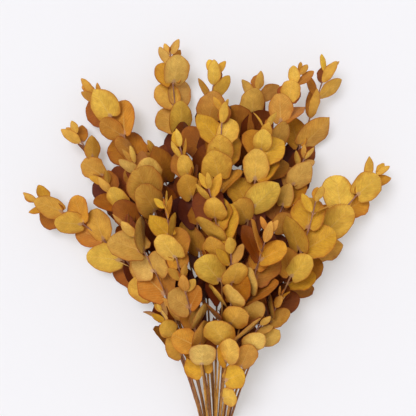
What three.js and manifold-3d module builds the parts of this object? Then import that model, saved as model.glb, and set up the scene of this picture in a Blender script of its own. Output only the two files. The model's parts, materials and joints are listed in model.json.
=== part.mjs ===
// A bunch of dried eucalyptus lying on a table, in millimetres.
// +Z is up and +Y runs from the band to the leaf tips.
// The origin is the middle of the band's flat underside, on the table.

import * as THREE from "three";
import { mergeVertices } from "three/addons/utils/BufferGeometryUtils.js";
import Module from "manifold-3d";

const wasm = await Module();
wasm.setup();

const DEGREE = Math.PI / 180;
const UP = new THREE.Vector3(0, 0, 1);

// The flat rubber band, three turns wide, that holds the stems in rows and columns.
const BAND = {
  thickness: 1.3, // of one turn
  groove: 0.45, // how much thinner the band is between its turns
  turnWidth: 3.6,
  turns: 3,
  gap: 0.35, // between the outer stems and the band
  cornerRadius: 3.2,
};

// Where the stems pass through the band: how far apart they are from row to row and in a row.
const LANE = {
  up: 3.7,
  across: 3.6,
  outerAcross: 3.15, // in the bottom and the top row, which are narrower for the band's corners
};

const STEM = {
  waistHalf: 1.4, // half the width of the square stem at the band
  tipHalf: 0.65,
  cutLength: 78, // from the band to the cut ends, on average
  cutSpread: 14, // how much the cut ends differ
  cutDrop: 1.5, // the cut ends rest on the table, lower than at the band
  neck: 8, // the stems fan out this far above the middle of the band
  waver: 1.3, // degrees by which a stem strays from the heading of its place in the fan
  start: 0.33, // share of its reach over which it keeps that heading
  end: 0.34, // share of its reach over which it turns to its last heading
  stations: 7, // along the fanned stretch
};

// A blade's outline above its stalk: shares of its length, and of half its width, up to the tip.
const FULL_OUTLINE = [
  [0.18, 0.78],
  [0.58, 1],
  [1, 0],
];
const YOUNG_OUTLINE = [
  [0.36, 1],
  [1, 0],
];
const BLADE = {
  thickness: 0.8,
  stalk: 4.8, // from the middle of the stem to where the blade widens
  stalkHalf: 0.7,
  leastFold: 0.04, // how far the edges stand up from the midrib, as a share of the half width
  moreFold: 0.18,
  droop: 0.18, // how far the tip bends back, as a share of the length
  bow: 0.3, // how far it bends down where the leaf stands up off its stem
  young: 2, // this many pairs at the tip have young, narrow leaves
  lift: 0.45, // height of a blade's middle surface where it lies on the table
  press: 9, // how far the table may press a blade out of its plane
};

// How the pairs of leaves stand along a stem, counted from its tip.
const PAIR = {
  bud: 6, // bare tip above the first pair
  firstGap: 14,
  gapGrowth: 7,
  longestGap: 34, // where its layer doesn't say
  youngLength: 0.5, // share of the full length at the first pair
  lengthGrowth: 0.2,
  youngLean: 28, // degrees between stem and leaf at the first pair
  leanGrowth: 9,
  fullLean: 36,
  leastLean: 25,
  sink: 10, // degrees by which a leaf that stands up off its stem leans less
  quarter: 90, // each pair stands across the one before it
  youngWidth: 0.47, // shares of the length
  fullWidth: 0.86,
};

// How much the leaves differ: shares of their size, and degrees of their turn.
const SWING = { length: 0.14, width: 0.13, turn: 14, azimuth: 12, lean: 10, roll: 42 };

// A leaf that would touch another is turned, leant and shrunk a little more at each try.
const TRY = { count: 26, azimuth: 110, lean: 28, roll: 70, shrink: 0.3, clearance: 0.35 };
const FACETS = 40; // directions in which two bodies are tested for a gap between them

// The leafy stems in layers from the table up, and in each layer from left to right.
// facing: share by which the leaves of a layer turn their faces up or down, to the light.
// fan: degrees by which its stems leave the band, for each millimetre off the middle.
// tip: where the stem ends. point: its heading there, in degrees from +Y.
// pairs: pairs of leaves. leaf: length of a full leaf. twist: how the pairs are turned round the stem.
// young: how many pairs at the tip are narrow, where that is not as in BLADE.
const LAYERS = [
  {
    name: "bottom",
    facing: 0.85,
    fan: 1.1,
    sprays: [
      { tip: [-229, 326, 34], point: -74, pairs: 7, leaf: 43, twist: 70 },
      { tip: [-179, 414, 30], point: -35, pairs: 6, leaf: 42, twist: 45 },
      { tip: [-156, 463, 30], point: -40, pairs: 5, leaf: 48, twist: 70 },
      { tip: [-57, 515, 32], point: -4, pairs: 5, leaf: 43, twist: 45 },
      { tip: [54, 470, 30], point: 13, pairs: 6, leaf: 48, twist: 85 },
      { tip: [141, 492, 30], point: 18, pairs: 6, leaf: 48, twist: 0, young: 4 },
      { tip: [206, 362, 36], point: 44, pairs: 7, leaf: 46, twist: 75 },
    ],
  },
  {
    name: "lower",
    facing: 0.5,
    fan: 0.8,
    sprays: [
      { tip: [-117, 258, 44], point: -38, pairs: 5, leaf: 41, twist: 60 },
      { tip: [-136, 349, 56], point: -33, pairs: 5, leaf: 48, twist: 25 },
      { tip: [-76, 386, 60], point: -23, pairs: 5, leaf: 45, twist: 60 },
      { tip: [1, 486, 60], point: 12, pairs: 6, leaf: 46, twist: 15, young: 3 },
      { tip: [106, 486, 60], point: 22, pairs: 7, leaf: 40, twist: 60 },
      { tip: [112, 381, 58], point: 26, pairs: 6, leaf: 38, twist: 50 },
      { tip: [125, 279, 50], point: 37, pairs: 5, leaf: 48, twist: 50 },
    ],
  },
  {
    name: "upper",
    facing: 0.35,
    fan: 1.05,
    sprays: [
      { tip: [-109, 296, 82], point: -37, pairs: 6, leaf: 48, twist: 10 },
      { tip: [-100, 374, 90], point: -26, pairs: 5, leaf: 48, twist: 40 },
      { tip: [-44, 394, 94], point: -17, pairs: 7, leaf: 41, twist: 55 },
      { tip: [8, 436, 94], point: 2, pairs: 5, leaf: 45, twist: 15 },
      { tip: [60, 416, 94], point: 10, pairs: 9, leaf: 48, twist: 10 },
      { tip: [122, 328, 88], point: 10, pairs: 5, leaf: 45, twist: 70 },
      { tip: [81, 211, 76], point: 24, pairs: 3, leaf: 37, twist: 0 },
    ],
  },
  {
    name: "top",
    facing: 0.3,
    fan: 0.65,
    longestGap: 27,
    sprays: [
      { tip: [-69, 192, 64], point: -29, pairs: 3, leaf: 34, twist: 80 },
      { tip: [-42, 234, 104], point: -19, pairs: 5, leaf: 44, twist: 25 },
      { tip: [-60, 321, 118], point: -10, pairs: 9, leaf: 44, twist: 20 },
      { tip: [-9, 343, 122], point: -15, pairs: 8, leaf: 46, twist: 55 },
      { tip: [18, 266, 116], point: -3, pairs: 9, leaf: 47, twist: 70 },
      { tip: [63, 292, 116], point: 17, pairs: 9, leaf: 48, twist: 20 },
      { tip: [56, 178, 80], point: 29, pairs: 3, leaf: 48, twist: 50 },
    ],
  },
];

const COLOUR = { leaf: 0xc28a33, band: 0xc9ab7c };

// A seeded stream of random numbers from 0 to 1.
function randomStream(seed) {
  let state = seed >>> 0;
  return () => {
    state = (state + 0x6d2b79f5) >>> 0;
    let t = state;
    t = Math.imul(t ^ (t >>> 15), t | 1);
    t ^= t + Math.imul(t ^ (t >>> 7), t | 61);
    return ((t ^ (t >>> 14)) >>> 0) / 4294967296;
  };
}

// A draw from -1 to 1.
const swing = (draw) => 2 * draw() - 1;

// Directions spread evenly over half a sphere.
function facetDirections() {
  const golden = Math.PI * (3 - Math.sqrt(5));
  return Array.from({ length: FACETS }, (_, i) => {
    const z = (i + 0.5) / FACETS;
    const r = Math.sqrt(1 - z * z);
    return new THREE.Vector3(r * Math.cos(golden * i), r * Math.sin(golden * i), z);
  });
}
const DIRECTIONS = facetDirections();

// A convex body for the test of gaps: its points, its reach and the direction in which it is thin.
function bodyOf(points, normal, owner, pair) {
  const centre = new THREE.Vector3();
  points.forEach((p) => centre.add(p));
  centre.divideScalar(points.length);
  const radius = Math.max(...points.map((p) => p.distanceTo(centre)));
  return { points, normal, centre, radius, owner, pair };
}

function span(points, axis) {
  let low = Infinity;
  let high = -Infinity;
  for (const p of points) {
    const along = p.dot(axis);
    low = Math.min(low, along);
    high = Math.max(high, along);
  }
  return [low, high];
}

// Whether some plane has body a on one side and body b on the other, with the clearance between them.
function apart(a, b) {
  const between = b.centre.clone().sub(a.centre);
  const distance = between.length();
  if (distance > a.radius + b.radius + TRY.clearance) return true;
  between.divideScalar(Math.max(distance, 1e-6));
  for (const axis of [a.normal, b.normal, between, ...DIRECTIONS]) {
    const [lowA, highA] = span(a.points, axis);
    const [lowB, highB] = span(b.points, axis);
    if (lowB - highA > TRY.clearance || lowA - highB > TRY.clearance) return true;
  }
  return false;
}

// A point on a stem and the axes there: along it to the tip, level across it, and up from it.
function axesAt(point, along) {
  const across = along.clone().cross(UP).normalize();
  const over = across.clone().cross(along);
  return { point, along, across, over };
}

// The middle line of a stem, from its cut end through the band to its tip.
function stemRoute(spray, lane, draw) {
  const foot = new THREE.Vector3(
    lane.x * 1.25,
    -STEM.cutLength + STEM.cutSpread * swing(draw),
    lane.z - STEM.cutDrop,
  );
  const below = new THREE.Vector3(lane.x, -STEM.neck, lane.z);
  const neck = new THREE.Vector3(lane.x, STEM.neck, lane.z);
  const tip = new THREE.Vector3(...spray.tip);
  const reach = neck.distanceTo(tip);
  const slope = (tip.z - neck.z) / reach;
  const leaving = lane.fan * lane.x + STEM.waver * swing(draw);
  const heading = (degrees, rise) =>
    new THREE.Vector3(Math.sin(degrees * DEGREE), Math.cos(degrees * DEGREE), rise);
  const fanned = new THREE.CubicBezierCurve3(
    neck,
    neck.clone().addScaledVector(heading(leaving, slope), STEM.start * reach),
    tip.clone().addScaledVector(heading(spray.point, 0.6 * slope), -STEM.end * reach),
    tip,
  );
  return [foot, below, ...fanned.getPoints(STEM.stations)];
}

// The square section of a stem at each point of its route.
function stemRings(route) {
  const last = route.length - 1;
  return route.map((point, i) => {
    const along = route[Math.min(i + 1, last)].clone().sub(route[Math.max(i - 1, 0)]);
    const { across, over } = axesAt(point, along.normalize());
    const share = Math.max(0, (i - 2) / (last - 2));
    const half = STEM.waistHalf + (STEM.tipHalf - STEM.waistHalf) * share;
    return [
      [-1, -1],
      [-1, 1],
      [1, 1],
      [1, -1],
    ].map(([a, b]) =>
      point.clone().addScaledVector(across, a * half).addScaledVector(over, b * half),
    );
  });
}

// The place on a route at a distance from the tip.
function placeFromTip(route, distance) {
  let left = distance;
  for (let i = route.length - 1; i > 0; i--) {
    const step = route[i].clone().sub(route[i - 1]);
    const length = step.length();
    step.divideScalar(length);
    if (left <= length) return axesAt(route[i].clone().addScaledVector(step, -left), step);
    left -= length;
  }
  throw new Error("the leaves reach past the stem's cut end");
}

// The directions of a flat leaf: its midrib, its side and its face.
function leafAxes(place, azimuth, lean) {
  const out = place.across
    .clone()
    .multiplyScalar(Math.cos(azimuth))
    .addScaledVector(place.over, Math.sin(azimuth));
  const midrib = place.along
    .clone()
    .multiplyScalar(Math.cos(lean))
    .addScaledVector(out, Math.sin(lean));
  const side = place.along.clone().cross(out);
  const face = midrib.clone().cross(side);
  return { midrib, side, face };
}

// How far a leaf turns about its midrib to show its face from above.
function turnToLight(place, azimuth, lean, facing) {
  const { side, face } = leafAxes(place, azimuth, lean);
  const level = Math.atan2(-side.z * Math.sign(face.z || 1), Math.abs(face.z));
  return facing * level;
}

// The middle surface of a leaf's blade at the corners of its outline, round from the root.
function bladeCorners(place, leaf, outline) {
  const flat = leafAxes(place, leaf.azimuth, leaf.lean);
  const turn = new THREE.Quaternion().setFromAxisAngle(flat.midrib, leaf.roll);
  const side = flat.side.clone().applyQuaternion(turn);
  const face = flat.face.clone().applyQuaternion(turn);
  const edge = outline.map(([x, y]) => [x * leaf.length, (y * leaf.width) / 2]);
  const left = [[0, 0], [BLADE.stalk, BLADE.stalkHalf], ...edge];
  const right = left.slice(1, -1).reverse();
  const corners = [...left.map(([x, y]) => [x, -y]), ...right].map(([x, y]) =>
    place.point
      .clone()
      .addScaledVector(flat.midrib, x)
      .addScaledVector(side, y)
      .addScaledVector(face, leaf.fold * Math.abs(y) - (leaf.droop * x * x) / leaf.length),
  );
  return { corners, face };
}

// The blade pressed flat where it would go through the table, or null if that bends it too far.
function restOnTable({ corners, face }) {
  const lowest = Math.min(...corners.map((p) => p.z));
  if (lowest < -1 - BLADE.press * Math.abs(face.z)) return null;
  corners.forEach((p) => (p.z = Math.max(p.z, BLADE.lift)));
  return { corners, face };
}

function bladeBody({ corners, face }, owner, pair) {
  const half = BLADE.thickness / 2;
  const above = corners.map((p) => p.clone().addScaledVector(face, half));
  const below = corners.map((p) => p.clone().addScaledVector(face, -half));
  return bodyOf([...above, ...below], face, owner, pair);
}

// The pose of a leaf as it would grow with nothing in its way.
function freeLeaf(spray, place, pair, side, turn, draw) {
  const grown = Math.min(1, PAIR.youngLength + PAIR.lengthGrowth * pair);
  const length = spray.leaf * grown * (1 + SWING.length * swing(draw));
  const azimuth = turn + side * Math.PI + SWING.azimuth * DEGREE * swing(draw);
  const raised = Math.max(0, Math.sin(azimuth));
  const usualLean = Math.min(PAIR.fullLean, PAIR.youngLean + PAIR.leanGrowth * pair);
  const lean = (usualLean - PAIR.sink * raised + SWING.lean * swing(draw)) * DEGREE;
  const level = turnToLight(place, azimuth, lean, spray.facing);
  const usualWidth = pair < spray.young ? PAIR.youngWidth : PAIR.fullWidth;
  return {
    azimuth,
    lean,
    roll: level + SWING.roll * DEGREE * swing(draw),
    length,
    width: length * (usualWidth + SWING.width * swing(draw)),
    fold: BLADE.leastFold + BLADE.moreFold * draw(),
    droop: BLADE.droop * swing(draw) - BLADE.bow * raised,
  };
}

// The first pose near the free one in which the leaf clears everything placed so far, or null.
function findRoom(place, free, outline, owner, pair, placed, draw) {
  for (let i = 0; i < TRY.count; i++) {
    const loose = i / (TRY.count - 1);
    const azimuth = free.azimuth + TRY.azimuth * DEGREE * loose * swing(draw);
    const lean = free.lean + TRY.lean * DEGREE * loose * swing(draw);
    const leaf = {
      ...free,
      azimuth,
      lean: Math.max(PAIR.leastLean * DEGREE, lean),
      roll: free.roll + TRY.roll * DEGREE * loose * swing(draw),
      length: free.length * (1 - TRY.shrink * loose),
      width: free.width * (1 - TRY.shrink * loose),
    };
    const blade = restOnTable(bladeCorners(place, leaf, outline));
    if (!blade) continue;
    const body = bladeBody(blade, owner, pair);
    const meets = (other) =>
      !(other.owner === owner && (other.pair === pair || other.pair < 0)) &&
      !apart(body, other);
    if (!placed.some(meets)) return body;
  }
  return null;
}

// The leaves of one stem, each clear of all that is placed already.
function growLeaves(spray, route, owner, placed) {
  const turnDraw = randomStream(1000 * (owner + 1));
  const blades = [];
  let fromTip = PAIR.bud;
  for (let pair = 0; pair < spray.pairs; pair++) {
    const place = placeFromTip(route, fromTip);
    const outline = pair < spray.young ? YOUNG_OUTLINE : FULL_OUTLINE;
    const turn =
      (spray.twist + PAIR.quarter * pair + SWING.turn * swing(turnDraw)) * DEGREE;
    for (const side of [0, 1]) {
      const draw = randomStream(1000 * (owner + 1) + 10 * (pair + 1) + side);
      const free = freeLeaf(spray, place, pair, side, turn, draw);
      const body = findRoom(place, free, outline, owner, pair, placed, draw);
      if (body) {
        placed.push(body);
        blades.push(body);
      }
    }
    fromTip += Math.min(spray.longestGap, PAIR.firstGap + PAIR.gapGrowth * pair);
  }
  return blades;
}

// A closed solid from its corner points and triangles.
function solid(points, triangles) {
  const geometry = new THREE.BufferGeometry().setFromPoints(points).setIndex(triangles);
  const merged = mergeVertices(geometry, 1e-4);
  return new wasm.Manifold(
    new wasm.Mesh({
      numProp: 3,
      vertProperties: merged.attributes.position.array,
      triVerts: new Uint32Array(merged.index.array),
    }),
  );
}

function stemSolid(rings) {
  const triangles = [0, 2, 1, 0, 3, 2];
  for (let i = 0; i + 1 < rings.length; i++) {
    for (let k = 0; k < 4; k++) {
      const a = 4 * i + k;
      const b = 4 * i + ((k + 1) % 4);
      triangles.push(a, b, b + 4, a, b + 4, a + 4);
    }
  }
  const end = 4 * (rings.length - 1);
  triangles.push(end, end + 1, end + 2, end, end + 2, end + 3);
  return solid(rings.flat(), triangles);
}

function bladeSolid(body) {
  const count = body.points.length / 2;
  const last = count - 1;
  const tip = count / 2;
  // The stalk, then the narrow midrib, then on each side of that a fan from the tip.
  const face = [0, 1, last, 1, tip, last];
  for (let i = 1; i < last; i++) {
    if (i !== tip && i !== tip - 1) face.push(i, i + 1, tip);
  }
  const under = face.map((i) => i + count).reverse();
  const rim = body.points.slice(0, count).flatMap((_, i) => {
    const j = (i + 1) % count;
    return [i, i + count, j + count, i, j + count, j];
  });
  return solid(body.points, [...face, ...under, ...rim]);
}

function geometryOf(manifold) {
  const mesh = manifold.getMesh();
  const geometry = new THREE.BufferGeometry();
  geometry.setAttribute("position", new THREE.BufferAttribute(mesh.vertProperties, 3));
  geometry.setIndex(new THREE.BufferAttribute(mesh.triVerts, 1));
  return geometry;
}

// A rounded rectangle in the band's own plane.
function roundedOutline(halfWidth, halfHeight, radius) {
  const outline = new THREE.Shape();
  const x = halfWidth - radius;
  const y = halfHeight - radius;
  outline.absarc(x, y, radius, 0, Math.PI / 2);
  outline.absarc(-x, y, radius, Math.PI / 2, Math.PI);
  outline.absarc(-x, -y, radius, Math.PI, 1.5 * Math.PI);
  outline.absarc(x, -y, radius, 1.5 * Math.PI, 2 * Math.PI);
  return outline;
}

const INNER_WIDTH = (Math.max(...LAYERS.map((l) => l.sprays.length)) - 1) * LANE.across;
const INNER_HEIGHT = (LAYERS.length - 1) * LANE.up;
const INNER = {
  x: INNER_WIDTH / 2 + STEM.waistHalf + BAND.gap,
  z: INNER_HEIGHT / 2 + STEM.waistHalf + BAND.gap,
};
const BAND_MIDDLE = INNER.z + BAND.thickness; // height of the band's middle over the table

// One ring round the stems, from one depth of the rubber to another, centred at y along the bunch.
function ring(inner, outer, width, y) {
  const round = BAND.cornerRadius - BAND.thickness;
  const outline = roundedOutline(INNER.x + outer, INNER.z + outer, round + outer);
  outline.holes.push(roundedOutline(INNER.x + inner, INNER.z + inner, round + inner));
  const geometry = new THREE.ExtrudeGeometry(outline, {
    depth: width,
    bevelEnabled: false,
    curveSegments: 2,
  });
  geometry.rotateX(Math.PI / 2);
  geometry.translate(0, y + width / 2, BAND_MIDDLE);
  geometry.deleteAttribute("normal");
  geometry.deleteAttribute("uv");
  const merged = mergeVertices(geometry, 1e-4);
  return new wasm.Manifold(
    new wasm.Mesh({
      numProp: 3,
      vertProperties: merged.attributes.position.array,
      triVerts: new Uint32Array(merged.index.array),
    }),
  );
}

// The band: a thin ring as wide as all its turns, with each turn standing proud of it.
function bandSolid() {
  const width = BAND.turns * BAND.turnWidth;
  const bottom = BAND.thickness - BAND.groove;
  let made = ring(0, bottom, width, 0);
  for (let turn = 0; turn < BAND.turns; turn++) {
    const y = (turn - (BAND.turns - 1) / 2) * BAND.turnWidth;
    made = made.add(ring(bottom / 2, BAND.thickness, 0.8 * BAND.turnWidth, y));
  }
  return made;
}

function named(name, geometry, color, roughness) {
  const material = new THREE.MeshStandardMaterial({ color, roughness, metalness: 0 });
  const mesh = new THREE.Mesh(geometry, material);
  mesh.name = name;
  return mesh;
}

// Every stem is set first, so that the leaves then clear all of them.
function layOutStems(placed) {
  const stems = [];
  LAYERS.forEach((layer, row) => {
    layer.sprays.forEach((spray, column) => {
      const owner = stems.length;
      const outer = row === 0 || row === LAYERS.length - 1;
      const lane = {
        x: (column - (layer.sprays.length - 1) / 2) * (outer ? LANE.outerAcross : LANE.across),
        z: BAND_MIDDLE + (row - (LAYERS.length - 1) / 2) * LANE.up,
        fan: layer.fan,
      };
      const route = stemRoute(spray, lane, randomStream(owner + 1));
      const rings = stemRings(route);
      for (let i = 0; i + 1 < rings.length; i++) {
        placed.push(bodyOf([...rings[i], ...rings[i + 1]], UP, owner, -1));
      }
      const name = `spray_${layer.name}_${column + 1}`;
      const { longestGap = PAIR.longestGap, facing } = layer;
      const full = { young: BLADE.young, longestGap, facing, ...spray };
      stems.push({ name, spray: full, route, rings });
    });
  });
  return stems;
}

// The whole bunch: the band and every leafy stem, the leaves fused to their stem.
function bunch() {
  const group = new THREE.Group();
  group.name = "dried_eucalyptus_bunch";
  const placed = [];
  const stems = layOutStems(placed);
  stems.forEach((stem, owner) => {
    const blades = growLeaves(stem.spray, stem.route, owner, placed);
    const whole = blades.reduce(
      (made, body) => made.add(bladeSolid(body)),
      stemSolid(stem.rings),
    );
    group.add(named(stem.name, geometryOf(whole), COLOUR.leaf, 0.75));
  });
  group.add(named("band", geometryOf(bandSolid()), COLOUR.band, 0.6));
  return group;
}

export default bunch();
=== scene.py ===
"""A bunch of dried eucalyptus: leaves, stems, band and stage, dressed on the CAD frame.

The bunch lies on a table. Z is up and Y runs from the band to the leaf tips.
The layout is worked out in millimetres, as in the CAD, and turned into metres at the end.
"""

import json
import math
from collections import namedtuple

import bpy
import numpy as np
from mathutils import Matrix, Vector

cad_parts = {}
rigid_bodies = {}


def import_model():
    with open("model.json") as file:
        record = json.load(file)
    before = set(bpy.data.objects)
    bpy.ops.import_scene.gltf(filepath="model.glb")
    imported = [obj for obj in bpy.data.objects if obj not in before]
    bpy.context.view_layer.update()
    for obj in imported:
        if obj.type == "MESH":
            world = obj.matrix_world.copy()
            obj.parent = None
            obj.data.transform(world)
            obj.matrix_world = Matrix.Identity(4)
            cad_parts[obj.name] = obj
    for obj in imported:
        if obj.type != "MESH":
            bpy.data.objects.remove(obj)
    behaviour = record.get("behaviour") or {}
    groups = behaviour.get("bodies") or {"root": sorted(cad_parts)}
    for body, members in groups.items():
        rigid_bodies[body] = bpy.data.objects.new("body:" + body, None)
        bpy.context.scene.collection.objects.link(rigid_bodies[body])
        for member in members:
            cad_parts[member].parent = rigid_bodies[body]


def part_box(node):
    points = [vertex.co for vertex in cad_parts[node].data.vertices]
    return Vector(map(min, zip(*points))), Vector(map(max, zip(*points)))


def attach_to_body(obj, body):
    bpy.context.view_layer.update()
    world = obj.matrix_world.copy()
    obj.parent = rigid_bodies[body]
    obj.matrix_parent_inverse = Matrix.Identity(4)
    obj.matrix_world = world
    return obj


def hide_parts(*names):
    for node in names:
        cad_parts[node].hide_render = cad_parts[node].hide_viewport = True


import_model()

bl_info = {
    "name": "Dried Eucalyptus Bunch",
    "version": (1, 0, 0),
    "blender": (4, 5, 0),
    "location": "3D View > Sidebar > Eucalyptus",
    "description": "Makes the leaves, stems and rubber band of a bunch of dried eucalyptus",
    "category": "Object",
}

MM = 0.001

# The layout of the bunch, in millimetres and degrees.

# The flat rubber band that holds the stems in rows and columns.
BAND_THICKNESS = 1.3
BAND_GAP = 0.35  # between the outer stems and the band
BAND_CORNER = 3.2

# Where the stems pass through the band: how far apart they are from row to row and in a row.
LANE_UP = 3.7
LANE_ACROSS = 3.6
LANE_OUTER = 3.15  # in the bottom and the top row

WAIST_HALF = 1.4  # half the thickness of a stem at the band
TIP_HALF = 0.65
CUT_LENGTH = 78.0  # from the band to the cut ends, on average
CUT_SPREAD = 14.0
CUT_DROP = 1.5  # the cut ends lie lower than the band
CUT_FAN = 1.25  # how much farther apart the stems are there than at the band
NECK = 8.0  # the stems fan out this far above the middle of the band
WAVER = 1.3  # degrees by which a stem strays from the heading of its place in the fan
START = 0.33  # share of its reach over which it keeps that heading
END = 0.34  # share of its reach over which it turns to its last heading
LAST_CLIMB = 0.6  # share of its climb that it keeps at its tip
STATIONS = 7  # along the fanned stretch
HEADING_STEP = 0.004  # share of that stretch on each side of a point, to find its heading

# A blade's outline above its stalk: shares of its length, and of half its width, up to the tip.
FULL_OUTLINE = ((0.18, 0.78), (0.58, 1.0), (1.0, 0.0))
YOUNG_OUTLINE = ((0.36, 1.0), (1.0, 0.0))
BLADE_THICKNESS = 0.8
STALK = 4.8  # from the middle of the stem to where the blade widens
STALK_HALF = 0.7
LEAST_FOLD = 0.04  # how far the edges stand up from the midrib, as a share of the half width
MORE_FOLD = 0.18
DROOP = 0.18  # how far the tip bends back, as a share of the length
BOW = 0.3  # how far it bends down where the leaf stands up off its stem
YOUNG = 2  # this many pairs at the tip are narrow, where the stem doesn't say
LIFT = 0.45  # height of a blade's middle surface where it lies on the table
PRESS = 9.0  # how far the table may press a level blade out of its plane
EDGE_PRESS = 1.0  # and a blade that stands on edge

# How the pairs of leaves stand along a stem, counted from its tip.
BUD = 6.0  # bare tip above the first pair
FIRST_GAP = 14.0
GAP_GROWTH = 7.0
LONGEST_GAP = 34.0
YOUNG_LENGTH = 0.5  # share of the full length at the first pair
LENGTH_GROWTH = 0.2
YOUNG_LEAN = 28.0  # degrees between stem and leaf at the first pair
LEAN_GROWTH = 9.0
FULL_LEAN = 36.0
LEAST_LEAN = 25.0
SINK = 10.0  # degrees by which a leaf that stands up off its stem leans less
QUARTER = 90.0  # each pair stands across the one before it
YOUNG_WIDTH = 0.47  # shares of the length
FULL_WIDTH = 0.86

# The thick of the bunch, an ellipse seen from above: its middle and its half width and length.
THICK = (-4.0, 250.0, 128.0, 172.0)
GAP_BELOW = 54.0  # counted below the last pair of a stem when leaves are added halfway down a gap

# How leaves shade one another, seen from above. This shade is painted into the colour of the leaves
# underneath.
SHADE_DROP = 3.0  # a leaf shades those that lie this far under it
SHADE_DEPTH = 12.0  # and in full those this much farther down
SHADE_ASIDE = 24.0  # it shades by half those that lie this far aside
SHADE_LEANING = 14.0  # leaves that lie over one by this much to one side shade it by half
SHADE_FADE = 1.5  # both of these fade out at this many times the distance
LEAST_INSIDE = 0.25
COVERED = 4.0  # leaves over a leaf that hide it wholly

# How much the leaves differ: shares of their size, and degrees of their turn.
LENGTH_SWING = 0.14
WIDTH_SWING = 0.13
TURN_SWING = 14.0
AZIMUTH_SWING = 12.0
LEAN_SWING = 10.0
ROLL_SWING = 42.0

# A leaf that would touch another is turned, leant and shrunk a little more at each try.
TRIES = 26
TRY_AZIMUTH = 110.0
TRY_LEAN = 28.0
TRY_ROLL = 70.0
TRY_SHRINK = 0.3
CLEARANCE = 0.35
FACETS = 40  # directions in which two bodies are tested for a gap between them
MOST_BODIES = 1000

# Seeds of the random draws: each stem, each pair and each use has its own.
STEM_SEEDS = 1000
PAIR_SEEDS = 10
FILL_SEED = 90000
LEAF_SEED = 7000
BARK_SEED = 8000

# The leafy stems in layers from the table up: the layer's name, its longest gap between pairs,
# the share by which its leaves turn up to the light, how many degrees its stems fan out for each
# millimetre off the middle, and its stems from left to right. Each stem has its tip, its heading
# there from +Y, its pairs of leaves, the length of a full leaf, how far the pairs are turned round
# the stem, and how many pairs at the tip are narrow.
LAYERS = (
    ("bottom", LONGEST_GAP, 0.85, 1.1, (
        ((-229, 326, 34), -74, 7, 43, 70, YOUNG),
        ((-179, 414, 30), -35, 6, 42, 45, YOUNG),
        ((-156, 463, 30), -40, 5, 48, 70, YOUNG),
        ((-57, 515, 32), -4, 5, 43, 45, YOUNG),
        ((54, 470, 30), 13, 6, 48, 85, YOUNG),
        ((141, 492, 30), 18, 6, 48, 0, 4),
        ((206, 362, 36), 44, 7, 46, 75, YOUNG),
    )),
    ("lower", LONGEST_GAP, 0.5, 0.8, (
        ((-117, 258, 44), -38, 5, 41, 60, YOUNG),
        ((-136, 349, 56), -33, 5, 48, 25, YOUNG),
        ((-76, 386, 60), -23, 5, 45, 60, YOUNG),
        ((1, 486, 60), 12, 6, 46, 15, 3),
        ((106, 486, 60), 22, 7, 40, 60, YOUNG),
        ((112, 381, 58), 26, 6, 38, 50, YOUNG),
        ((125, 279, 50), 37, 5, 48, 50, YOUNG),
    )),
    ("upper", LONGEST_GAP, 0.35, 1.05, (
        ((-109, 296, 82), -37, 6, 48, 10, YOUNG),
        ((-100, 374, 90), -26, 5, 48, 40, YOUNG),
        ((-44, 394, 94), -17, 7, 41, 55, YOUNG),
        ((8, 436, 94), 2, 5, 45, 15, YOUNG),
        ((60, 416, 94), 10, 9, 48, 10, YOUNG),
        ((122, 328, 88), 10, 5, 45, 70, YOUNG),
        ((81, 211, 76), 24, 3, 37, 0, YOUNG),
    )),
    ("top", 27.0, 0.3, 0.65, (
        ((-69, 192, 64), -29, 3, 34, 80, YOUNG),
        ((-42, 234, 104), -19, 5, 44, 25, YOUNG),
        ((-60, 321, 118), -10, 9, 44, 20, YOUNG),
        ((-9, 343, 122), -15, 8, 46, 55, YOUNG),
        ((18, 266, 116), -3, 9, 47, 70, YOUNG),
        ((63, 292, 116), 17, 9, 48, 20, YOUNG),
        ((56, 178, 80), 29, 3, 48, 50, YOUNG),
    )),
)

INNER_X = 3 * LANE_ACROSS + WAIST_HALF + BAND_GAP
INNER_Z = 1.5 * LANE_UP + WAIST_HALF + BAND_GAP
BAND_MIDDLE = INNER_Z + BAND_THICKNESS
UP = np.array((0.0, 0.0, 1.0))


def random_stream(seed):
    """Numbers from 0 to 1, the same for a seed at each run."""
    state = seed & 0xFFFFFFFF

    def draw():
        nonlocal state
        state = (state + 0x6D2B79F5) & 0xFFFFFFFF
        t = state
        t = ((t ^ (t >> 15)) * (t | 1)) & 0xFFFFFFFF
        t ^= (t + (((t ^ (t >> 7)) * (t | 61)) & 0xFFFFFFFF)) & 0xFFFFFFFF
        return (t ^ (t >> 14)) / 4294967296

    return draw


def swing(draw):
    """A draw from -1 to 1."""
    return 2 * draw() - 1


def facet_directions():
    """Directions spread evenly over half a sphere."""
    i = np.arange(FACETS)
    z = (i + 0.5) / FACETS
    r = np.sqrt(1 - z * z)
    turn = math.pi * (3 - math.sqrt(5)) * i
    return np.stack((r * np.cos(turn), r * np.sin(turn), z), axis=1)


DIRECTIONS = facet_directions()


class Body:
    """A convex body for the test of gaps, with its reach in each of the fixed directions."""

    def __init__(self, points, normal, owner, pair):
        self.points = np.array(points)
        self.normal = normal
        self.owner = owner
        self.pair = pair
        self.centre = self.points.mean(axis=0)
        self.radius = np.linalg.norm(self.points - self.centre, axis=1).max()
        along = self.points @ DIRECTIONS.T
        self.low = along.min(axis=0)
        self.high = along.max(axis=0)


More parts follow.
